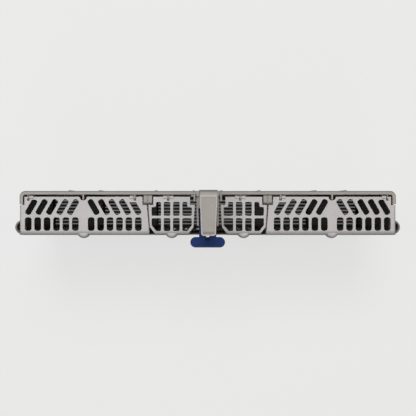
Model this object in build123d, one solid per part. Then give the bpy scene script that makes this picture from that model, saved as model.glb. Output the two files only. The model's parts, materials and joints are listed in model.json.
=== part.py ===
"""Long slim cutlery basket with four hinged lids, a carry handle and a sprung release latch. Millimetres."""

import os
from math import cos, radians, sin, tan

from build123d import *

# Frame: X along the length, Y towards the rear, Z up, origin under the middle of the floor
LID_TOP = 170.0
LID_T = 2.2
CORNER_STEPS = 2
LID_UNDER = LID_TOP - LID_T

# Body shell
WALL = 2.2
FLOOR_T = 3.0
END_X = 232.8
REAR_Y = 25.3
FRONT_Y = -25.1
REAR_CORNER_R = 5.0
FRONT_CORNER_R = 4.0
FOOT_BEVEL = 2.0
REAR_IN_Y = REAR_Y - WALL
FRONT_IN_Y = FRONT_Y + WALL
END_IN_X = END_X - WALL

# Rear rim and its wrap round the ends
RIM_X = 235.0
RIM_Y = 27.5
RIM_RISE = 0.6
RIM_TOP = LID_TOP + RIM_RISE
RIM_H = 5.2
RIM_R = 7.0
RIM_BEVEL = 1.3
RIM_END_Y = 11.0

# Front: a low wall with a bevelled top, and an apron standing before it up to the lids
FRONT_DROP = 58.0
FRONT_TOP = LID_TOP - FRONT_DROP
FRONT_TOP_T = 1.0
FRONT_TOP_BEVEL = 2.5
APRON_Y = -27.8
APRON_T = 1.1
APRON_GAP = 0.4
APRON_DROP = 70.0
APRON_LOW = LID_TOP - APRON_DROP
APRON_FOOT = 6.0
APRON_WEB = 5.0
APRON_IN_Y = APRON_Y + APRON_T
CUT_HALF = 24.5
CUT_DROP = 14.0
CUT_Z = LID_TOP - CUT_DROP
CUT_R = 3.0

# Cross walls
CROSS_X = 74.5, 155.4
CROSS_T = 2.0
CROSS_DROP = 10.0
CROSS_TOP = LID_TOP - CROSS_DROP
POST_Y = 17.0

# Drain slots through the walls
DRAIN_W = 4.0
DRAIN_LOW = 10.0
DRAIN_TOP_GAP = 10.0
BAY_MIDDLES = 193.0, 115.0, 37.0
FRONT_COUNT = 4
FRONT_PITCH = 17.0
REAR_COUNT = 2
REAR_PITCH = 34.0

# Floor grid: bars run along X
FLOOR_PITCH = 5.0
FLOOR_ROWS = 8
FLOOR_SLOT_W = 1.8
FLOOR_BAYS = (158.5, 228.0), (77.5, 152.5), (3.5, 71.5)

# Rear guide ribs and the end pockets
GUIDE_X = 17.6, 65.3, 136.0, 174.0
GUIDE_W = 2.4
GUIDE_Y = 28.7
GUIDE_LOW = 40.0
GUIDE_DROP = 6.0
GUIDE_Z = GUIDE_LOW, LID_TOP - GUIDE_DROP
POCKET_Y = -18.0
POCKET_HALF = 9.3
POCKET_OUT = 10.2
POCKET_DROP = 38.0
POCKET_H = 29.0
POCKET_Z = LID_TOP - POCKET_DROP, LID_TOP - POCKET_DROP + POCKET_H
POCKET_T = 2.0
POCKET_SIDES = 12

# Stop blocks between the lids
BLOCK_X = 69.5, 80.0
BLOCK_Y = 11.4
BLOCK_DROP = 12.0
BLOCK_Z = LID_TOP - BLOCK_DROP
BLOCK_R = 3.0
BLOCK_GROOVE = 1.4, 5.0
BLOCK_LINE = 0.8, 1.2

# Upright ribs beside the handle
SIDE_RIB_X = 15.5, 17.7
SIDE_RIB_Y = 14.5
SIDE_RIB_DROP = 14.0
SIDE_RIB_Z = LID_TOP - SIDE_RIB_DROP

# Lid hinges
HINGE_Y = 19.6
HINGE_Z = LID_TOP - LID_T / 2
PIN_R = 1.5
BORE_R = 1.55
KNUCKLE = 4.4
KNUCKLE_L = 5.0
KNUCKLE_BEVEL = 1.2
EAR_R = 3.0
EAR_T = 1.8
EAR_BEVEL = 1.2
EAR_DROP = 14.0
EAR_LOW = LID_TOP - EAR_DROP
EAR_SLOPE = 0.6, 0.6
EAR_SIDE_GAP = 0.6
PIN_REACH = 2.8
LID_REAR_Y = 20.25
NOTCH_GAP = 1.2
NOTCH_Y = HINGE_Y - EAR_R - NOTCH_GAP

# Outer lid, left hand
LID_FRONT_Y = -27.5
LID_END_X = 235.0
LID_SKIRT = 7.0
SKIRT_T = 1.8
ROLL_R = 3.0
LID_STEP_Y = 10.0
LID_INSET_X = 228.8
LID_SPLIT_REAR = 76.1
LID_SPLIT_FRONT = 72.9
LID_BLOCK_X = 81.5
BAND_X = 155.4
SLANT = 30.0
SLANT_SIZE = 7.6, 21.2
SLANT_R = 2.6
SLANT_Y = 7.5
SLANT_FIRST = 12.8
SLANT_PITCH = 13.05
SLANT_STOP_Y = 16.6, 13.4
STRAIGHT_SIZE = 8.4, 16.9
STRAIGHT_R = 2.7
STRAIGHT_Y = -13.75
STRAIGHT_FIRST = 9.9
STRAIGHT_PITCH = 11.76
REAR_NOTCH_R = 4.6
REAR_NOTCH_SIDES = 16
OUTER_EARS = 224.0, 90.9

# Slots per row: as many as the plate holds on either side of the band
SLOT_EDGE = 5.0
SLOT_REACH = min(LID_END_X - BAND_X, BAND_X - LID_SPLIT_REAR) - SLOT_EDGE
SLANT_HALF = (SLANT_SIZE[0] * cos(radians(SLANT)) + SLANT_SIZE[1] * sin(radians(SLANT))) / 2
SLANT_COUNT = 1 + int((SLOT_REACH - SLANT_HALF - SLANT_FIRST) / SLANT_PITCH)
STRAIGHT_COUNT = 1 + int((SLOT_REACH - STRAIGHT_SIZE[0] / 2 - STRAIGHT_FIRST) / STRAIGHT_PITCH)

# Centre lid, about its own middle
CENTRE_X = 45.0
CENTRE_SIDE = (23.0, LID_REAR_Y), (23.0, 10.2), (29.0, 10.2), (27.2, -17.5), (20.5, -26.4)
CENTRE_EDGE_R = 1.4
CELL_INNER = 1.7, 9.9
CELL_OUTER = 13.3, 25.1
CELL_REAR = 13.75, -3.4
CELL_FRONT = -6.5, -22.5
CELL_STEP = 19.5, 7.5
CELL_CHAMFER = 5.6, 7.3
CELL_R = 1.6
CENTRE_EAR = 4.4

# Finger tab on the front of every lid
TAB_R = 8.9
TAB_OUT = 4.1
TAB_DROP = 2.4
TAB_GAP = 0.4
TAB_NECK = 1.6
TAB_NECK_HALF = 7.4
TAB_Z = LID_TOP - LID_SKIRT, LID_TOP - TAB_DROP
TAB_BEVEL = 2.4
TAB_SIDES = 28

# Handle
HANDLE_RISE = 48.0
HANDLE_TOP = LID_TOP + HANDLE_RISE
BAND_T = 2.4
BAND_REAR_Y = 27.7
BAND_FRONT_Y = -26.4
BAND_HALF_REAR = 10.65
BAND_HALF_FRONT = 8.6
BAND_CORNER_R = 3.0
BEND_R = 6.0
FLANGE_T = 2.0
FLANGE_H = 7.0
PANEL_INSET = 1.7
PANEL_SUNK = 0.5
PANEL_REAR_Y = 19.0
SADDLE_HALF = 14.2
SADDLE_DROP = 32.0
SADDLE_LOW = LID_TOP - SADDLE_DROP
SADDLE_RISE = 8.0
SADDLE_TOP = LID_TOP + SADDLE_RISE
SADDLE_WALL = 2.2
SEAT_DROP = 13.0
SADDLE_SEAT = LID_TOP - SEAT_DROP
CHEEK_T = 2.2
CHEEK_FRONT_Y = -16.0
CHEEK_TAPER = 0.8
CHEEK_FRONT_HALF = SADDLE_HALF - CHEEK_TAPER
CHEEK_DROP = 14.0
CHEEK_LOW = LID_TOP - CHEEK_DROP
CHEEK_RISE = 4.0
CHEEK_TOP = LID_TOP + CHEEK_RISE
BRIDGE_Y = 6.0
BRIDGE_T = 2.0
BRIDGE_INSET = 1.6
WINDOW_HALF = 6.0
WINDOW_DROP = 10.0
WINDOW_Z = LID_TOP - WINDOW_DROP, CHEEK_TOP

# Latch
PIVOT_Y = 3.0
PIVOT_DROP = 4.5
PIVOT_Z = LID_TOP - PIVOT_DROP
TRUNNION_R = 2.0
TRUNNION_BORE_R = 2.05
STEM_HALF = 10.8
STEM_T = 3.0
STEM_Y = 13.0, -31.5
FORK_HALF = 2.1
FORK_END_Y = -6.0
PADDLE_SIZE = 43.5, 13.1
PADDLE_Y = -36.75
PADDLE_T = 4.2
PADDLE_BEVEL = 1.2
PADDLE_SIDES = 14
DIMPLE = 6.5, 4.5, 1.6
CATCH_HALF = 5.0
CATCH_END_Y = 28.7
CATCH_NOSE = 2.6, 2.2

# Leaf spring
SPRING_HALF_X = 4.0
SPRING_T = 0.5
SPRING_Y = 13.0
SPRING_BOW = (-6.0, 0.0), (-4.5, 0.6), (-1.8, 1.0), (1.8, 1.0), (4.5, 0.6), (6.0, 0.0)


def block(x, y, z):
    """Box between two corners on each axis."""
    size = [abs(b - a) for a, b in (x, y, z)]
    middle = [(a + b) / 2 for a, b in (x, y, z)]
    return Pos(*middle) * Box(*size)


def plate(points, z0, z1):
    """Prism of a closed outline between two heights."""
    face = make_face(Polyline(*points, close=True))
    return Pos(0, 0, z0) * extrude(face, z1 - z0)


def rod(x0, x1, y, z, r):
    """Round bar along X."""
    return Pos((x0 + x1) / 2, y, z) * Rot(0, 90, 0) * Cylinder(r, abs(x1 - x0))


def both(x):
    return -x, x


def tray(half_x, y0, y1, front_r, rear_r, z0, z1):
    """Prism with rounded upright corners."""
    solid = block(both(half_x), (y0, y1), (z0, z1))
    upright = solid.edges().filter_by(Axis.Z)
    solid = fillet(upright.filter_by_position(Axis.Y, y1 - 0.01, y1 + 0.01), rear_r)
    upright = solid.edges().filter_by(Axis.Z)
    return fillet(upright.filter_by_position(Axis.Y, y0 - 0.01, y0 + 0.01), front_r)


def shell():
    outer = tray(END_X, FRONT_Y, REAR_Y, FRONT_CORNER_R, REAR_CORNER_R, 0, LID_UNDER)
    outer = chamfer(outer.faces().sort_by(Axis.Z)[0].outer_wire().edges(), FOOT_BEVEL)
    inner_r = FRONT_CORNER_R - WALL, REAR_CORNER_R - WALL
    return outer - tray(END_IN_X, FRONT_IN_Y, REAR_IN_Y, *inner_r, FLOOR_T, LID_UNDER)


def rear_rim():
    ring = tray(RIM_X, -RIM_Y, RIM_Y, RIM_R, RIM_R, RIM_TOP - RIM_H, RIM_TOP)
    edge = ring.faces().sort_by(Axis.Z)[-1].outer_wire().edges()
    ring = chamfer(edge, RIM_BEVEL)
    inner_r = REAR_CORNER_R - WALL
    ring -= tray(END_IN_X, -RIM_Y, REAR_IN_Y, inner_r, inner_r, RIM_TOP - RIM_H, RIM_TOP)
    return ring & block(both(RIM_X), (RIM_END_Y, RIM_Y), (0, RIM_TOP))


def along_x(points, half_x):
    """Prism of a closed side view, running the same way to both sides."""
    return extrude(Plane.YZ * make_face(Polyline(*points, close=True)), half_x, both=True)


def front_opening():
    """Cutter that lowers the front wall and bevels its new top edge."""
    y = FRONT_IN_Y - FRONT_TOP_T
    points = [(FRONT_IN_Y, LID_UNDER), (FRONT_IN_Y, FRONT_TOP), (y, FRONT_TOP)]
    points += [(FRONT_Y, FRONT_TOP - FRONT_TOP_BEVEL), (FRONT_Y, LID_UNDER)]
    return along_x(points, END_X - FRONT_CORNER_R)


def apron():
    """Upper front skin: sloped foot on the low wall, closed ends, a dip below the paddle."""
    top = LID_TOP - LID_SKIRT - APRON_GAP
    foot = [(FRONT_Y, APRON_LOW), (APRON_Y, APRON_LOW + APRON_FOOT), (APRON_Y, top)]
    skin = [(APRON_IN_Y, top), (APRON_IN_Y, APRON_LOW + APRON_FOOT), (FRONT_Y, APRON_LOW + APRON_WEB)]
    solid = along_x(foot + skin, END_X)
    inner_x = END_X - FRONT_CORNER_R
    end = along_x(foot + [(FRONT_IN_Y, top), (FRONT_IN_Y, APRON_LOW)], END_X)
    solid += end - block(both(inner_x), (APRON_Y, FRONT_IN_Y), (APRON_LOW, top))
    return solid - finger_cut()


def eased(points, r):
    """Outline with each corner turned in a few short flats."""
    result = []
    for i, corner in enumerate(points):
        at = Vector(*corner)
        u = (Vector(*points[i - 1]) - at).normalized()
        v = (Vector(*points[(i + 1) % len(points)]) - at).normalized()
        half = radians(u.get_angle(v)) / 2
        first, last = at + u * (r / tan(half)), at + v * (r / tan(half))
        centre = at + (u + v).normalized() * (r / sin(half))
        turn = radians(180) - 2 * half
        for k in range(CORNER_STEPS + 1):
            t = k / CORNER_STEPS
            spoke = (first - centre) * sin((1 - t) * turn) + (last - centre) * sin(t * turn)
            result.append(centre + spoke * (1 / sin(turn)))
    return result


def hinge_ear(x):
    """Bored plate standing forward from the rear wall."""
    front, top = HINGE_Y - EAR_R, HINGE_Z + EAR_R
    back_y, back_z = EAR_SLOPE
    side = [(REAR_IN_Y, EAR_LOW), (REAR_IN_Y, HINGE_Z + back_z), (HINGE_Y + back_y, top)]
    side += [(front + EAR_BEVEL, top), (front, top - EAR_BEVEL), (front, HINGE_Z - EAR_R)]
    ear = extrude(Plane.YZ * make_face(Polyline(*side, close=True)), EAR_T)
    low = x - EAR_T / 2
    return Pos(low, 0, 0) * ear - rod(low, low + EAR_T, HINGE_Y, HINGE_Z, BORE_R)


def ear_places():
    outer = [side * x for side in (-1, 1) for x in OUTER_EARS]
    return outer + [side * CENTRE_X - CENTRE_EAR for side in (-1, 1)]


def stop_block(side):
    """Block between two lids, with a groove before the rim and a line down its middle."""
    x = [side * v for v in BLOCK_X]
    solid = block(x, (BLOCK_Y, REAR_IN_Y), (BLOCK_Z, RIM_TOP))
    edge = solid.faces().sort_by(Axis.Y)[0].edges().sort_by(Axis.Z)[-1]
    solid = fillet(edge, BLOCK_R)
    wide, deep = BLOCK_GROOVE
    solid -= block(x, (REAR_IN_Y - wide, REAR_IN_Y), (RIM_TOP - deep, RIM_TOP))
    wide, deep = BLOCK_LINE
    return solid - block(centred(sum(x) / 2, wide), (BLOCK_Y, REAR_IN_Y), (RIM_TOP - deep, RIM_TOP))


def d_outline(half, out):
    """Half-round plan, flat side on the Y axis, bulging to -X."""
    turn = [radians(180 * i / POCKET_SIDES) for i in range(POCKET_SIDES + 1)]
    return make_face(Polyline(*[(-out * sin(a), half * cos(a)) for a in turn], close=True))


def end_pocket(side):
    z0, z1 = POCKET_Z
    bulge = extrude(d_outline(POCKET_HALF, POCKET_OUT), z1 - z0)
    hollow = extrude(d_outline(POCKET_HALF - POCKET_T, POCKET_OUT - POCKET_T), z1 - z0)
    pocket = bulge - Pos(0, 0, FLOOR_T) * hollow
    pocket = Pos(-END_X, POCKET_Y, z0) * pocket
    return pocket if side < 0 else mirror(pocket, Plane.YZ)


def centred(middle, width):
    return middle - width / 2, middle + width / 2


def columns(count, pitch):
    """Middle of every wall slot along X, evenly about the middle of each bay."""
    for middle in BAY_MIDDLES:
        for i in range(count):
            x = middle + (i - (count - 1) / 2) * pitch
            yield from (-x, x)


def wall_slots():
    """Tall drain slots through the front and rear walls."""
    front, rear = (FRONT_Y, FRONT_IN_Y), (REAR_IN_Y, REAR_Y)
    front_z, rear_z = [(DRAIN_LOW, top - DRAIN_TOP_GAP) for top in (APRON_LOW, SADDLE_LOW)]
    cuts = [block(centred(x, DRAIN_W), front, front_z) for x in columns(FRONT_COUNT, FRONT_PITCH)]
    return cuts + [block(centred(x, DRAIN_W), rear, rear_z) for x in columns(REAR_COUNT, REAR_PITCH)]


def floor_slots():
    cuts = []
    for bay in FLOOR_BAYS:
        for row in range(FLOOR_ROWS):
            y = centred((row - (FLOOR_ROWS - 1) / 2) * FLOOR_PITCH, FLOOR_SLOT_W)
            for side in (-1, 1):
                cuts.append(block([side * x for x in bay], y, (0, FLOOR_T)))
    return cuts


def finger_cut():
    """Round-cornered dip in the apron below the latch paddle."""
    solid = block(both(CUT_HALF), (APRON_Y, APRON_IN_Y), (CUT_Z, LID_TOP))
    low = solid.edges().filter_by(Axis.Y).sort_by(Axis.Z)[:2]
    return fillet(low, CUT_R)


def cross_walls():
    walls = []
    for x in CROSS_X:
        for side in (-1, 1):
            span = centred(side * x, CROSS_T)
            walls.append(block(span, (FRONT_IN_Y, REAR_IN_Y), (FLOOR_T, CROSS_TOP)))
            walls.append(block(span, (APRON_IN_Y, FRONT_IN_Y), (APRON_LOW + APRON_FOOT, CROSS_TOP)))
    for side in (-1, 1):
        span = centred(side * CROSS_X[1], CROSS_T)
        walls.append(block(span, (POST_Y, REAR_IN_Y), (CROSS_TOP, LID_TOP)))
    return walls


def upright_ribs():
    """Guide ribs behind the rear wall, and the ribs beside the handle."""
    ribs = []
    for side in (-1, 1):
        x = [side * v for v in SIDE_RIB_X]
        ribs.append(block(x, (SIDE_RIB_Y, REAR_IN_Y), (SIDE_RIB_Z, RIM_TOP)))
    for x in GUIDE_X:
        for side in (-1, 1):
            span = side * x - GUIDE_W / 2, side * x + GUIDE_W / 2
            ribs.append(block(span, (REAR_Y, GUIDE_Y), GUIDE_Z))
    return ribs


def basket_body():
    body = shell() - wall_slots() - floor_slots() - front_opening()
    body += [rear_rim(), apron(), *cross_walls(), *upright_ribs()]
    body += [stop_block(side) for side in (-1, 1)]
    body += [end_pocket(side) for side in (-1, 1)]
    body += [hinge_ear(x) for x in ear_places()]
    seat = block(both(SADDLE_HALF), (REAR_IN_Y, RIM_Y), (SADDLE_SEAT, RIM_TOP))
    return body - seat


def finger_tab(x):
    """Half-round lip in front of a lid, its top edge rolled over."""
    z0, z1 = TAB_Z
    outline = RegularPolygon(TAB_R, TAB_SIDES, rotation=180 / TAB_SIDES)
    disc = Pos(x, LID_FRONT_Y + TAB_R - TAB_OUT, z0) * extrude(outline, z1 - z0)
    disc = chamfer(disc.faces().sort_by(Axis.Z)[-1].edges(), TAB_BEVEL)
    return disc & block((x - TAB_R, x + TAB_R), (LID_FRONT_Y - TAB_R, FRONT_Y - TAB_GAP), TAB_Z)


def knuckle(x0, x1):
    """Eight-sided hinge lug on the lid's rear edge."""
    half = KNUCKLE / 2
    solid = block((x0, x1), (HINGE_Y - half, HINGE_Y + half), (HINGE_Z - half, HINGE_Z + half))
    return chamfer(solid.edges().filter_by(Axis.X), KNUCKLE_BEVEL)


def barrel(x, toward):
    """Hinge lug beside the ear at x, with its pin pointing to the ear."""
    face = x - toward * (EAR_T / 2 + EAR_SIDE_GAP)
    pin = rod(face, face + toward * PIN_REACH, HINGE_Y, HINGE_Z, PIN_R)
    return knuckle(face - toward * KNUCKLE_L, face) + pin


def ear_notch(x):
    half = EAR_T / 2 + EAR_SIDE_GAP
    return block((x - half, x + half), (NOTCH_Y, LID_REAR_Y), (LID_UNDER, LID_TOP))


def rect(x, y):
    return [(x[0], y[0]), (x[1], y[0]), (x[1], y[1]), (x[0], y[1])]


def soft_slot(width, length, r):
    """Cutter through the lid plate with eased corners."""
    return plate(eased(rect(both(width / 2), both(length / 2)), r), LID_UNDER, LID_TOP)


def slanted_slots():
    """Two fans of slots, the last of each cut short below a hinge ear."""
    cuts = []
    for side, stop_y in zip((-1, 1), SLANT_STOP_Y):
        for k in range(SLANT_COUNT):
            x = -BAND_X + side * (SLANT_FIRST + SLANT_PITCH * k)
            cuts.append(Pos(x, SLANT_Y, 0) * Rot(0, 0, side * SLANT) * soft_slot(*SLANT_SIZE, SLANT_R))
        cuts[-1] -= block((-LID_END_X, 0), (stop_y, LID_REAR_Y), (LID_UNDER, LID_TOP))
    return cuts


def straight_slots():
    cuts = []
    for side in (-1, 1):
        for k in range(STRAIGHT_COUNT):
            x = -BAND_X + side * (STRAIGHT_FIRST + STRAIGHT_PITCH * k)
            cuts.append(Pos(x, STRAIGHT_Y, 0) * soft_slot(*STRAIGHT_SIZE, STRAIGHT_R))
    return cuts


def outer_lid():
    """Left outer lid: plate with a rolled skirt in front and at the end."""
    outline = [
        (-LID_INSET_X, LID_REAR_Y),
        (-LID_INSET_X, LID_STEP_Y),
        (-LID_END_X, LID_STEP_Y),
        (-LID_END_X, LID_FRONT_Y),
        (-LID_SPLIT_FRONT, LID_FRONT_Y),
        (-LID_SPLIT_REAR, LID_STEP_Y),
        (-LID_BLOCK_X, LID_STEP_Y),
        (-LID_BLOCK_X, LID_REAR_Y),
    ]
    lid = plate(outline, LID_TOP - LID_SKIRT, LID_TOP)
    top = lid.edges().filter_by_position(Axis.Z, LID_TOP - 0.01, LID_TOP + 0.01)
    front = top.sort_by(Axis.Y)[0]
    end = top.sort_by(Axis.X)[0]
    lid = fillet([front, end], ROLL_R)
    pocket_x = SKIRT_T - LID_END_X, 0
    lid -= block(pocket_x, (LID_FRONT_Y + SKIRT_T, RIM_Y), (0, LID_UNDER))
    lid += finger_tab(-BAND_X)
    lid -= [ear_notch(-x) for x in OUTER_EARS]
    notch = RegularPolygon(REAR_NOTCH_R, REAR_NOTCH_SIDES)
    lid -= Pos(-BAND_X, LID_REAR_Y, LID_UNDER) * extrude(notch, LID_T)
    lid -= slanted_slots() + straight_slots()
    return lid + [barrel(-OUTER_EARS[0], -1), barrel(-OUTER_EARS[1], 1)]


def lid_cells():
    """Four openings of the right half of a centre lid."""
    inner_x, outer_x = CELL_OUTER
    step_x, step_y = CELL_STEP
    rear, rear_end = CELL_REAR
    front, front_end = CELL_FRONT
    cut_x, cut_y = CELL_CHAMFER
    stepped = [(inner_x, rear), (step_x, rear), (step_x, step_y), (outer_x, step_y)]
    stepped += [(outer_x, rear_end), (inner_x, rear_end)]
    chamfered = [(inner_x, front), (outer_x, front), (outer_x, front_end + cut_y)]
    chamfered += [(outer_x - cut_x, front_end), (inner_x, front_end)]
    outlines = [rect(CELL_INNER, CELL_REAR), rect(CELL_INNER, CELL_FRONT), stepped, chamfered]
    return [plate(eased(points, CELL_R), LID_UNDER, LID_TOP) for points in outlines]


def centre_lid(x):
    """Open grille lid, its pin held between two lugs and turning in one ear."""
    outline = list(CENTRE_SIDE) + [(-px, py) for px, py in reversed(CENTRE_SIDE)]
    lid = plate(outline, LID_UNDER, LID_TOP)
    top = lid.edges().filter_by_position(Axis.Z, LID_TOP - 0.01, LID_TOP + 0.01)
    lid = fillet(top.sort_by(Axis.Y)[0], CENTRE_EDGE_R)
    neck_y = FRONT_Y - TAB_GAP - TAB_NECK, FRONT_Y - TAB_GAP
    lid += block(both(TAB_NECK_HALF), neck_y, (TAB_Z[0], LID_UNDER))
    lid += finger_tab(0)
    cells = lid_cells()
    lid -= cells + [mirror(c, Plane.YZ) for c in cells]
    lid -= ear_notch(-CENTRE_EAR)
    half = EAR_T / 2 + EAR_SIDE_GAP
    left, right = -CENTRE_EAR - half, -CENTRE_EAR + half
    lid += [knuckle(left - KNUCKLE_L, left), knuckle(right, right + KNUCKLE_L)]
    lid += rod(left, right, HINGE_Y, HINGE_Z, PIN_R)
    return Pos(x, 0, 0) * lid


def angle_profile(inset, depth, front_y):
    """Side view of the leg and band, as a bent strip of the given depth."""
    rear = BAND_REAR_Y - inset
    top = HANDLE_TOP - inset
    points = [(rear, SADDLE_TOP), (rear, top), (front_y, top), (front_y, top - depth)]
    points += [(rear - depth, top - depth), (rear - depth, SADDLE_TOP)]
    strip = extrude(Plane.YZ * make_face(Polyline(*points, close=True)), BAND_HALF_REAR, both=True)
    bends = strip.edges().filter_by(Axis.X).sort_by(lambda e: e.center().Y + e.center().Z)
    return fillet([bends[-1]], BEND_R - inset)


def band_plan(inset, front_y):
    """Tapering plan of the handle."""
    rear, front = BAND_HALF_REAR - inset, BAND_HALF_FRONT - inset
    points = [(-rear, BAND_REAR_Y), (rear, BAND_REAR_Y), (front, front_y), (-front, front_y)]
    plan = plate(points, SADDLE_TOP, HANDLE_TOP)
    nose = plan.edges().filter_by(Axis.Z).sort_by(Axis.Y)[:2]
    return fillet(nose, BAND_CORNER_R - inset)


def handle_band():
    """Channel-shaped rear leg bent forward into the tapering top band."""
    solid = angle_profile(0, BAND_T + FLANGE_H, BAND_FRONT_Y) & band_plan(0, BAND_FRONT_Y)
    core_y = BAND_FRONT_Y + FLANGE_T
    solid -= angle_profile(BAND_T, FLANGE_H, core_y) & band_plan(FLANGE_T, core_y)
    top = block(both(BAND_HALF_REAR), (BAND_FRONT_Y, PANEL_REAR_Y), (HANDLE_TOP - PANEL_SUNK, HANDLE_TOP))
    return solid - (band_plan(PANEL_INSET, BAND_FRONT_Y + PANEL_INSET) & top)


def handle_saddle():
    """Block that straddles the rear wall, with a window for the catch."""
    y = REAR_IN_Y - SADDLE_WALL, BAND_REAR_Y
    solid = block(both(SADDLE_HALF), y, (SADDLE_LOW, SADDLE_TOP))
    solid -= block(both(SADDLE_HALF), (REAR_IN_Y, REAR_Y), (SADDLE_LOW, SADDLE_SEAT))
    return solid - block(both(WINDOW_HALF), y, WINDOW_Z)


def cheek(side):
    """Plate beside the latch, converging to the front."""
    rear = REAR_IN_Y - SADDLE_WALL
    outline = [
        (side * SADDLE_HALF, rear), (side * CHEEK_FRONT_HALF, CHEEK_FRONT_Y),
        (side * (CHEEK_FRONT_HALF - CHEEK_T), CHEEK_FRONT_Y), (side * (SADDLE_HALF - CHEEK_T), rear),
    ]
    return plate(outline, CHEEK_LOW, CHEEK_TOP)


def carry_handle():
    handle = handle_saddle() + handle_band() + [cheek(side) for side in (-1, 1)]
    bridge_y = BRIDGE_Y, REAR_IN_Y - SADDLE_WALL
    handle += block(both(SADDLE_HALF - BRIDGE_INSET), bridge_y, (CHEEK_TOP, CHEEK_TOP + BRIDGE_T))
    return handle - rod(-SADDLE_HALF, SADDLE_HALF, PIVOT_Y, PIVOT_Z, TRUNNION_BORE_R)


def paddle():
    length, depth = PADDLE_SIZE
    end = depth / 2
    turn = [radians(180 * i / PADDLE_SIDES - 90) for i in range(PADDLE_SIDES + 1)]
    right = [(length / 2 - end + end * cos(a), end * sin(a)) for a in turn]
    left = [(-x, -y) for x, y in right]
    solid = Pos(0, PADDLE_Y, 0) * plate(right + left, PIVOT_Z - STEM_T / 2, PIVOT_Z - STEM_T / 2 + PADDLE_T)
    rims = solid.edges().filter_by_position(Axis.Z, PIVOT_Z + 1, PIVOT_Z + PADDLE_T)
    solid = chamfer(rims, PADDLE_BEVEL)
    width, deep, sunk = DIMPLE
    top = PIVOT_Z - STEM_T / 2 + PADDLE_T
    rear = PADDLE_Y + depth / 2
    return solid - block(both(width / 2), (rear - deep, rear), (top - sunk, top))


def release_latch():
    z = PIVOT_Z - STEM_T / 2, PIVOT_Z + STEM_T / 2
    latch = block(both(STEM_HALF), STEM_Y, z) + paddle()
    latch -= block(both(FORK_HALF), (PADDLE_Y + PADDLE_SIZE[1] / 2, FORK_END_Y), z)
    latch += block(both(CATCH_HALF), (STEM_Y[0], CATCH_END_Y), z)
    nose_y, nose_z = CATCH_NOSE
    latch += block(both(CATCH_HALF), (CATCH_END_Y - nose_y, CATCH_END_Y), (z[0] - nose_z, z[0]))
    return latch + rod(-SADDLE_HALF, SADDLE_HALF, PIVOT_Y, PIVOT_Z, TRUNNION_R)


def latch_spring():
    """Bowed leaf: both ends under the bridge, its middle on the latch."""
    drop = CHEEK_TOP - PIVOT_Z - STEM_T / 2
    under = [(SPRING_Y + y, CHEEK_TOP - z * drop) for y, z in SPRING_BOW]
    shrink = 1 - SPRING_T / drop
    over = [(SPRING_Y + y * shrink, CHEEK_TOP - z * drop * shrink) for y, z in SPRING_BOW]
    face = make_face(Polyline(*under, *reversed(over), close=True))
    return extrude(Plane.YZ * face, SPRING_HALF_X, both=True)


def build():
    left = outer_lid()
    return {
        "basket_body": basket_body(),
        "left_outer_lid": left,
        "left_centre_lid": centre_lid(-CENTRE_X),
        "right_centre_lid": centre_lid(CENTRE_X),
        "right_outer_lid": mirror(left, Plane.YZ),
        "carry_handle": carry_handle(),
        "release_latch": release_latch(),
        "latch_spring": latch_spring(),
    }


os.makedirs("parts", exist_ok=True)
for name, solid in build().items():
    export_step(solid, f"parts/{name}.step")
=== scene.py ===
import json
import math

import bmesh
import bpy
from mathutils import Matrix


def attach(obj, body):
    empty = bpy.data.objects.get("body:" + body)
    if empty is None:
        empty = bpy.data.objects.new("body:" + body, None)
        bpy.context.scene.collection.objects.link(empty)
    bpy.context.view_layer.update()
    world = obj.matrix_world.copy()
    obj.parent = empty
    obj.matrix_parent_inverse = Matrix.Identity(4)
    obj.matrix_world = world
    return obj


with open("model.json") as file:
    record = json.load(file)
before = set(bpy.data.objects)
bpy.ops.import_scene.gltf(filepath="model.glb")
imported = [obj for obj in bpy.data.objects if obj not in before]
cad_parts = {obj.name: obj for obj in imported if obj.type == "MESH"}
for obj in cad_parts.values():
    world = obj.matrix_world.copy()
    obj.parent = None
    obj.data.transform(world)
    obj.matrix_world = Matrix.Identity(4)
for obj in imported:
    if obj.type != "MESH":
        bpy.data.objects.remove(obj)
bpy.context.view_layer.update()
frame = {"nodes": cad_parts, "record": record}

# Photo camera: straight down, its foot a little left of the basket's middle
CAMERA_AT = (-0.0159, 0.00625, 0.935)
FOCAL_PX = 612.9
IMAGE_PX = 416
CENTRE_SHIFT_PX = 13
SENSOR_MM = 36.0
CLIP_START = 0.01

# Moulded edge rounding per node, in metres
EDGE_RADIUS = {
    "basket_body": 0.00035,
    "left_outer_lid": 0.0004,
    "left_centre_lid": 0.0004,
    "right_centre_lid": 0.0004,
    "right_outer_lid": 0.0004,
    "carry_handle": 0.0006,
    "release_latch": 0.0006,
    "latch_spring": 0.0001,
}
EDGE_STEPS = 2
EDGE_ANGLE = math.radians(28)
WELD_GAP = 1e-6
FLAT_ANGLE = math.radians(0.5)

# Smooth lips over the finger tabs, level with the lid tops
LIP_X = {
    "left_outer": -0.1554,
    "left_centre": -0.0450,
    "right_centre": 0.0450,
    "right_outer": 0.1554,
}
LIP_Y = -0.0227
LIP_RADIUS = 0.0089
LIP_FLAT = 0.0050
LIP_INNER = 0.0010
LIP_TOP = 0.16998
LIP_EDGE = 0.1654
LIP_ROOT = 0.1683
LIP_SKIN = 0.0009
LIP_FAN = 200, 340
LIP_FAN_STEPS = 20
LIP_ROUND_STEPS = 6

# Base colours
# The body and the handle are one plastic; the body's grey is set a little darker than the handle's, as
# painted shade
BODY_GREY = (0.281, 0.267, 0.252)
HANDLE_GREY = (0.312, 0.296, 0.276)
LID_GREY = (0.430, 0.419, 0.424)
# The lips' grey is the lids' grey made darker, as painted shade
LIP_SHADE = 0.94
LATCH_BLUE = (0.006, 0.026, 0.125)
STEEL_DARK = (0.45, 0.45, 0.46)
STEEL_LIGHT = (0.6, 0.6, 0.61)
WHITE = (1, 1, 1)

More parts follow.
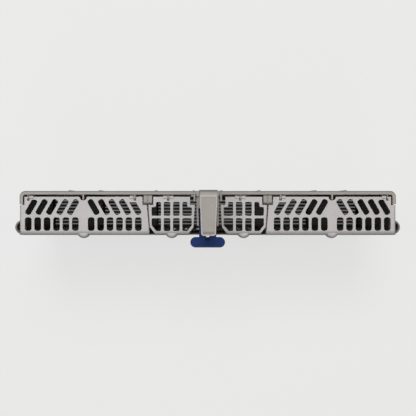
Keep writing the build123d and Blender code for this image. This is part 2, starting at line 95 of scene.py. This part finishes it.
# Finish of the plastics and of the spring
BODY_ROUGH = 0.36
LID_ROUGH = 0.45
HANDLE_ROUGH = 0.6
LATCH_ROUGH = 0.4
STEEL_ROUGH = 0.34
HANDLE_GLOSS = 0.3
LATCH_GLOSS = 0.25
LATCH_SPREAD = 0.08
PLASTIC_IOR = 1.49

# Cloudiness and grain of the materials
CLOUD_SCALE = 45.0
CLOUD_ENDS = 0.3, 0.7
STREAK_SCALE = 900.0
GRAIN_SCALE = 1500.0
GRAIN_DETAIL = 2.0
GRAIN_STRENGTH = 0.35
GRAIN_DEPTH = 0.00002
NOISE_ROUGHNESS = 0.6

# Zones where shade or light is painted into the colour, each as its lowest and highest corner in metres
INSIDE = (-0.2316, -0.0232, -0.0010), (0.2316, 0.0232, 0.155)
APRON_GAP = (-0.2320, -0.0269, 0.1005), (0.2320, -0.0232, 0.155)
LEFT_POCKET = (-0.2440, -0.0280, 0.1310), (-0.2329, -0.0080, 0.1620)
RIGHT_POCKET = (0.2329, -0.0280, 0.1310), (0.2440, -0.0080, 0.1620)
RIM_ZONE = (-0.3, -0.1, 0.158), (0.3, 0.1, 0.172)
DIMPLE = (-0.0036, -0.0351, 0.1600), (0.0036, -0.0295, 0.1676)
HANDLE_EDGE = (-0.02, -0.0300, 0.21775), (0.02, 0.0215, 0.219)
PANEL_FRONT = (-0.02, -0.0250, 0.2170), (0.02, -0.0215, 0.21775)
WHOLE = (-0.3, -0.1, -0.1), (0.3, 0.1, 0.3)

# Painted shade and highlights: the colour in a zone is multiplied by these, on all its faces or on its side
# faces; below 1 is painted shade, above 1 a painted highlight
# Painted shade: the colour is darker inside the basket, in the gap behind the front apron and in the end
# pockets
BODY_PAINTED_SHADE = [(INSIDE, 0.16), (APRON_GAP, 0.16), (LEFT_POCKET, 0.5), (RIGHT_POCKET, 0.5)]
# Painted shade on the side faces at rim height
BODY_SIDE_SHADE = [(RIM_ZONE, 0.6)]
# Painted shade on the lids' side faces
LID_SIDE_SHADE = [(WHOLE, 0.62)]
# Painted shade along the lids' front edge
LID_FRONT_SHADE = 0.64
# Painted shade on the lips' side faces
LIP_SIDE_SHADE = [(WHOLE, 0.45)]
# Painted shade in the latch's dimple
LATCH_PAINTED_SHADE = [(DIMPLE, 0.35)]
# Painted highlight on the handle's top edges and on the flat behind its bend, and painted shade at the front
# of its sunk panel
HANDLE_PAINTED_LIGHT_AND_SHADE = [(HANDLE_EDGE, 1.3), (PANEL_FRONT, 0.7)]
# Painted shade on the handle's side faces, also on the rear of its bend
HANDLE_SIDE_SHADE = [(WHOLE, 0.55)]

# Where the painted shade on side faces begins and is full, as upward share of the normal, and the painted
# shade along the lids' front, as Y
SIDE_FADE = 0.999, 0.7
FRONT_FADE = -0.0218, -0.0240

# Floor: its glow is weaker on the ground under the basket, as a painted shadow of the basket; the weak glow
# left there is painted light seen through the floor slots
FLOOR_SIZE = 6.0
FLOOR_GREY = (0.12, 0.12, 0.12)
FLOOR_ROUGH = 0.9
FLOOR_GLOW = 0.68, 0.14
UNDER = (-0.2320, -0.0250, -1.0), (0.2320, 0.0250, 1.0)

# Even sky, and lamps as name, place, size, power and colour
SKY = 0.2
LAMP_TARGET = (0, 0, 0.15)
WARM = (1.0, 0.8, 0.55)
LAMPS = [
    ("key", (-0.1, 1.4, 2.4), 1.5, 51, WHITE),
    ("left", (-1.3, 0.3, 2.6), 1.0, 15, WHITE),
    ("front", (0, -2.2, 0.7), 1.5, 14, WHITE),
    ("right", (1.3, 0.3, 2.6), 1.0, 9, WARM),
]


def node(tree, kind, **values):
    """New shader node with its inputs set by name."""
    made = tree.nodes.new(kind)
    for name, value in values.items():
        made.inputs[name.replace("_", " ")].default_value = value
    return made


def object_position(tree):
    """Place of a point in the part's own frame."""
    return tree.nodes.new("ShaderNodeTexCoord").outputs["Object"]


def noise(tree, where, scale, detail=3.0):
    """Noise of a given scale per metre."""
    made = node(tree, "ShaderNodeTexNoise", Scale=scale, Detail=detail, Roughness=NOISE_ROUGHNESS)
    tree.links.new(where, made.inputs["Vector"])
    return made.outputs["Fac"]


def ramp(tree, source, low, high):
    """Spread of a noise between two colours."""
    made = tree.nodes.new("ShaderNodeValToRGB")
    for element, place, colour in zip(made.color_ramp.elements, CLOUD_ENDS, (low, high)):
        element.position = place
        element.color = (*colour, 1)
    tree.links.new(source, made.inputs["Fac"])
    return made.outputs["Color"]


def math_node(tree, operation, *values):
    """Math node whose inputs are numbers or the outputs of other nodes."""
    made = tree.nodes.new("ShaderNodeMath")
    made.operation = operation
    for socket, value in zip(made.inputs, values):
        if isinstance(value, float):
            socket.default_value = value
        else:
            tree.links.new(value, socket)
    return made.outputs[0]


def axes(tree, vector):
    """The X, Y and Z outputs of a vector."""
    apart = tree.nodes.new("ShaderNodeSeparateXYZ")
    tree.links.new(vector, apart.inputs["Vector"])
    return apart.outputs


def inside_box(tree, where, low, high):
    """1 inside the box between two corners, 0 outside it."""
    near = []
    for value, a, b in zip(axes(tree, where), low, high):
        near.append(math_node(tree, "COMPARE", value, (a + b) / 2, (b - a) / 2))
    return math_node(tree, "MULTIPLY", near[0], math_node(tree, "MULTIPLY", near[1], near[2]))


def fade(tree, source, ends):
    """0 where a value is at the first end, rising to 1 at the second."""
    made = node(tree, "ShaderNodeMapRange", From_Min=ends[0], From_Max=ends[1])
    tree.links.new(source, made.inputs["Value"])
    return made.outputs["Result"]


def side_face(tree):
    """0 on faces that look up or down in the part's own frame, rising to 1 on its sides."""
    normal = tree.nodes.new("ShaderNodeTexCoord").outputs["Normal"]
    return fade(tree, math_node(tree, "ABSOLUTE", axes(tree, normal)["Z"]), SIDE_FADE)


def front_edge(tree, where):
    """0 over most of a lid, rising to 1 along its front edge."""
    return fade(tree, axes(tree, where)["Y"], FRONT_FADE)


def tone(tree, colours, mask, factor):
    """Colour multiplied by a factor where the mask is 1: painted shade below 1, a painted highlight above 1.
    """
    mix = tree.nodes.new("ShaderNodeMixRGB")
    mix.blend_type = "MULTIPLY"
    mix.inputs["Color2"].default_value = (factor, factor, factor, 1)
    tree.links.new(mask, mix.inputs["Fac"])
    tree.links.new(colours, mix.inputs["Color1"])
    return mix.outputs["Color"]


def shade(colour, factor):
    """A colour made lighter or darker."""
    return tuple(c * factor for c in colour)


def grain(tree, where):
    """Normal of a fine moulded grain."""
    bump = node(tree, "ShaderNodeBump", Strength=GRAIN_STRENGTH, Distance=GRAIN_DEPTH)
    tree.links.new(noise(tree, where, GRAIN_SCALE, GRAIN_DETAIL), bump.inputs["Height"])
    return bump.outputs["Normal"]


def plastic(name, colour, roughness, gloss=0.5, spread=0.05, painted_light_and_shade=(), sides=(), front=None):
    """Moulded polypropylene: slight cloudiness, a fine grain, and painted shade and highlights in zones,
    painted shade on side faces and along the front.
    """
    material = bpy.data.materials.new(name)
    material.use_nodes = True
    tree = material.node_tree
    surface = tree.nodes["Principled BSDF"]
    where = object_position(tree)
    cloud = noise(tree, where, CLOUD_SCALE)
    colours = ramp(tree, cloud, shade(colour, 1 - spread), shade(colour, 1 + spread))
    for box, factor in painted_light_and_shade:
        colours = tone(tree, colours, inside_box(tree, where, *box), factor)
    for box, factor in sides:
        mask = math_node(tree, "MULTIPLY", inside_box(tree, where, *box), side_face(tree))
        colours = tone(tree, colours, mask, factor)
    if front:
        colours = tone(tree, colours, front_edge(tree, where), front)
    tree.links.new(colours, surface.inputs["Base Color"])
    surface.inputs["Roughness"].default_value = roughness
    surface.inputs["IOR"].default_value = PLASTIC_IOR
    surface.inputs["Specular IOR Level"].default_value = gloss
    tree.links.new(grain(tree, where), surface.inputs["Normal"])
    return material


def steel(name):
    """Rolled strip with a fine grain in its colour."""
    material = bpy.data.materials.new(name)
    material.use_nodes = True
    tree = material.node_tree
    surface = tree.nodes["Principled BSDF"]
    surface.inputs["Metallic"].default_value = 1.0
    streak = noise(tree, object_position(tree), STREAK_SCALE)
    tree.links.new(ramp(tree, streak, STEEL_DARK, STEEL_LIGHT), surface.inputs["Base Color"])
    surface.inputs["Roughness"].default_value = STEEL_ROUGH
    return material


def round_edges(obj, radius):
    """Small moulded radius on every hard edge of a CAD node."""
    weld = obj.modifiers.new("join", "WELD")
    weld.merge_threshold = WELD_GAP
    flat = obj.modifiers.new("flats", "DECIMATE")
    flat.decimate_type = "DISSOLVE"
    flat.angle_limit = FLAT_ANGLE
    bevel = obj.modifiers.new("edges", "BEVEL")
    bevel.width = radius
    bevel.segments = EDGE_STEPS
    bevel.limit_method = "ANGLE"
    bevel.angle_limit = EDGE_ANGLE
    bevel.use_clamp_overlap = True
    bevel.harden_normals = False


def lip_profile():
    """Radius, top and underside of each ring of a lip, from its root outwards."""
    rings = [(LIP_INNER, LIP_TOP, LIP_ROOT)]
    for k in range(LIP_ROUND_STEPS + 1):
        turn = math.radians(90 * k / LIP_ROUND_STEPS)
        radius = LIP_FLAT + (LIP_RADIUS - LIP_FLAT) * math.sin(turn)
        height = LIP_EDGE + (LIP_TOP - LIP_EDGE) * math.cos(turn)
        rings.append((radius, height, min(LIP_ROOT, height - LIP_SKIN)))
    return rings


def lip_ring(mesh, x, radius, height):
    """Points of one arc of a lip."""
    start, end = LIP_FAN
    points = []
    for k in range(LIP_FAN_STEPS + 1):
        turn = math.radians(start + (end - start) * k / LIP_FAN_STEPS)
        points.append(mesh.verts.new((x + radius * math.cos(turn), LIP_Y + radius * math.sin(turn), height)))
    return points


def lip_faces(mesh, tops, lows):
    """Faces round the section of a lip and over its two ends."""
    loop = tops + lows[::-1]
    for ring, following in zip(loop, loop[1:] + loop[:1]):
        for k in range(LIP_FAN_STEPS):
            mesh.faces.new((ring[k], following[k], following[k + 1], ring[k + 1]))
    for end in (0, -1):
        for k in range(len(tops) - 1):
            mesh.faces.new((tops[k][end], tops[k + 1][end], lows[k + 1][end], lows[k][end]))
    bmesh.ops.recalc_face_normals(mesh, faces=mesh.faces)


def lip(body, x, material):
    """Lip of one finger tab: flat on from the lid, then rounded down to the tab's edge."""
    mesh = bmesh.new()
    tops = []
    lows = []
    for radius, top, low in lip_profile():
        tops.append(lip_ring(mesh, x, radius, top))
        lows.append(lip_ring(mesh, x, radius, low))
    lip_faces(mesh, tops, lows)
    data = bpy.data.meshes.new(body + "_tab_lip")
    mesh.to_mesh(data)
    mesh.free()
    data.materials.append(material)
    data.shade_smooth()
    obj = bpy.data.objects.new(body + "_tab_lip", data)
    bpy.context.collection.objects.link(obj)
    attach(obj, body)


def dress():
    """Materials and edge radii on the CAD nodes, and the lips of the finger tabs."""
    materials = {
        "body_grey": plastic("body grey", BODY_GREY, BODY_ROUGH, painted_light_and_shade=BODY_PAINTED_SHADE, sides=BODY_SIDE_SHADE),
        "lid_grey": plastic("lid grey", LID_GREY, LID_ROUGH, sides=LID_SIDE_SHADE, front=LID_FRONT_SHADE),
        "latch_blue": plastic("latch blue", LATCH_BLUE, LATCH_ROUGH, LATCH_GLOSS, LATCH_SPREAD, LATCH_PAINTED_SHADE),
        "spring_steel": steel("spring steel"),
    }
    # The lips: a darker copy of the lid grey, painted shade, with painted shade on their side faces
    lip_grey = plastic("lip grey", shade(LID_GREY, LIP_SHADE), LID_ROUGH, sides=LIP_SIDE_SHADE)
    handle = plastic(
        "handle grey", HANDLE_GREY, HANDLE_ROUGH, HANDLE_GLOSS, painted_light_and_shade=HANDLE_PAINTED_LIGHT_AND_SHADE, sides=HANDLE_SIDE_SHADE
    )
    slots = {part["node"]: part["material_slot"] for part in frame["record"]["subparts"]}
    for name, obj in frame["nodes"].items():
        obj.data.materials.clear()
        obj.data.materials.append(handle if name == "carry_handle" else materials[slots[name]])
        round_edges(obj, EDGE_RADIUS[name])
    for body, x in LIP_X.items():
        lip(body, x, lip_grey)


def seen_rays(tree):
    """1 for rays that show the floor itself or its mirror image, 0 for rays that only carry its light."""
    rays = tree.nodes.new("ShaderNodeLightPath").outputs
    mirrored = math_node(tree, "MAXIMUM", rays["Is Glossy Ray"], rays["Is Transmission Ray"])
    return math_node(tree, "MAXIMUM", rays["Is Camera Ray"], mirrored)


def floor_glow(tree):
    """Strength of the floor's glow, seen only directly or as a mirror image; weaker under the basket as a
    painted shadow, with a little painted light left there.
    """
    under = inside_box(tree, object_position(tree), *UNDER)
    glow = node(tree, "ShaderNodeMapRange", To_Min=FLOOR_GLOW[0], To_Max=FLOOR_GLOW[1])
    tree.links.new(under, glow.inputs["Value"])
    return math_node(tree, "MULTIPLY", glow.outputs["Result"], seen_rays(tree))


def floor():
    """Pale ground that keeps a soft shadow."""
    bpy.ops.mesh.primitive_plane_add(size=FLOOR_SIZE, location=(0, 0, 0))
    plane = bpy.context.object
    plane.name = "floor"
    material = bpy.data.materials.new("pale floor")
    material.use_nodes = True
    tree = material.node_tree
    surface = tree.nodes["Principled BSDF"]
    surface.inputs["Base Color"].default_value = (*FLOOR_GREY, 1)
    surface.inputs["Roughness"].default_value = FLOOR_ROUGH
    surface.inputs["Emission Color"].default_value = (*WHITE, 1)
    tree.links.new(floor_glow(tree), surface.inputs["Emission Strength"])
    plane.data.materials.append(material)


def area_light(name, place, size, power, colour):
    """Round lamp that looks at the basket."""
    light = bpy.data.lights.new(name, "AREA")
    light.shape = "DISK"
    light.size = size
    light.energy = power
    light.color = colour
    obj = bpy.data.objects.new(name, light)
    obj.location = place
    aim = [t - p for t, p in zip(LAMP_TARGET, place)]
    from_z = math.atan2(math.hypot(aim[0], aim[1]), -aim[2])
    obj.rotation_euler = (from_z, 0, math.atan2(-aim[0], aim[1]))
    bpy.context.collection.objects.link(obj)


def lights():
    for lamp in LAMPS:
        area_light(*lamp)


def sky():
    """Even white light from all round."""
    world = bpy.data.worlds.new("studio")
    bpy.context.scene.world = world
    world.use_nodes = True
    background = world.node_tree.nodes["Background"]
    background.inputs["Color"].default_value = (*WHITE, 1)
    background.inputs["Strength"].default_value = SKY


def camera():
    """Camera of the photo, and colours shown as they are."""
    lens = bpy.data.cameras.new("photo camera")
    lens.sensor_width = SENSOR_MM
    lens.lens = FOCAL_PX * SENSOR_MM / IMAGE_PX
    lens.shift_x = CENTRE_SHIFT_PX / IMAGE_PX
    lens.clip_start = CLIP_START
    obj = bpy.data.objects.new("photo camera", lens)
    obj.location = CAMERA_AT
    bpy.context.collection.objects.link(obj)
    bpy.context.scene.camera = obj
    bpy.context.scene.view_settings.view_transform = "Standard"


dress()
floor()
lights()
sky()
camera()
